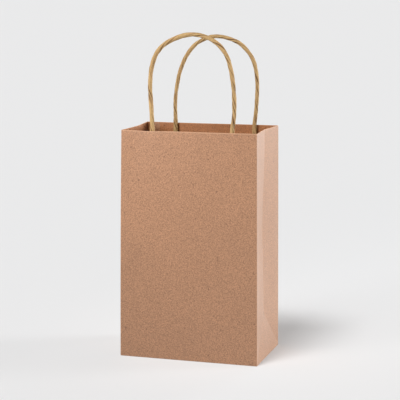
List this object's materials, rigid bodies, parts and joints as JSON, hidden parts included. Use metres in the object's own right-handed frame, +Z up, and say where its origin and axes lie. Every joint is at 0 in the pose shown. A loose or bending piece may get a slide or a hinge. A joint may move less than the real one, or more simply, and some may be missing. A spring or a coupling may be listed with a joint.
{
  "type": "paper gift bag",
  "caption": "Small square-bottomed kraft paper gift bag with pleated sides and two upright twisted-paper cord handles.",
  "frame": {"origin": "middle of the base, on the surface the bag stands on", "axes": "+Z up through the open mouth, front panel facing -Y, +X to the right seen from the front"},
  "size_m": [0.1334, 0.0826, 0.3037],
  "materials": {
    "kraft_paper": "uncoated, fine fibre grain",
    "patch_paper": "uncoated, fine fibre grain",
    "twisted_paper_cord": "twisted, ridged"
  },
  "bodies": {
    "bag": {"front_panel": "kraft_paper", "back_panel": "kraft_paper", "seam_lap": "kraft_paper", "right_gusset_front_half": "kraft_paper", "right_gusset_back_half": "kraft_paper", "right_gusset_foot": "kraft_paper", "left_gusset_front_half": "kraft_paper", "left_gusset_back_half": "kraft_paper", "left_gusset_foot": "kraft_paper", "bottom_front_flap": "kraft_paper", "bottom_back_flap": "kraft_paper", "bottom_right_tuck": "kraft_paper", "bottom_left_tuck": "kraft_paper", "front_patch_wall_strip": "kraft_paper", "front_patch_cover_strip": "patch_paper", "back_patch_wall_strip": "kraft_paper", "back_patch_cover_strip": "patch_paper", "front_handle_left_end": "twisted_paper_cord", "front_handle_right_end": "twisted_paper_cord", "back_handle_left_end": "twisted_paper_cord", "back_handle_right_end": "twisted_paper_cord"},
    "front_handle": {"front_handle_loop": "twisted_paper_cord"},
    "back_handle": {"back_handle_loop": "twisted_paper_cord"}
  },
  "joints": [
    {"name": "front_handle_swing", "type": "hinge", "parent": "bag", "child": "front_handle", "pos_m": [0, -0.03868, 0.215], "axis": [1, 0, 0], "range_deg": [-25, 30]},
    {"name": "back_handle_swing", "type": "hinge", "parent": "bag", "child": "back_handle", "pos_m": [0, 0.03868, 0.215], "axis": [1, 0, 0], "range_deg": [-30, 25]}
  ]
}
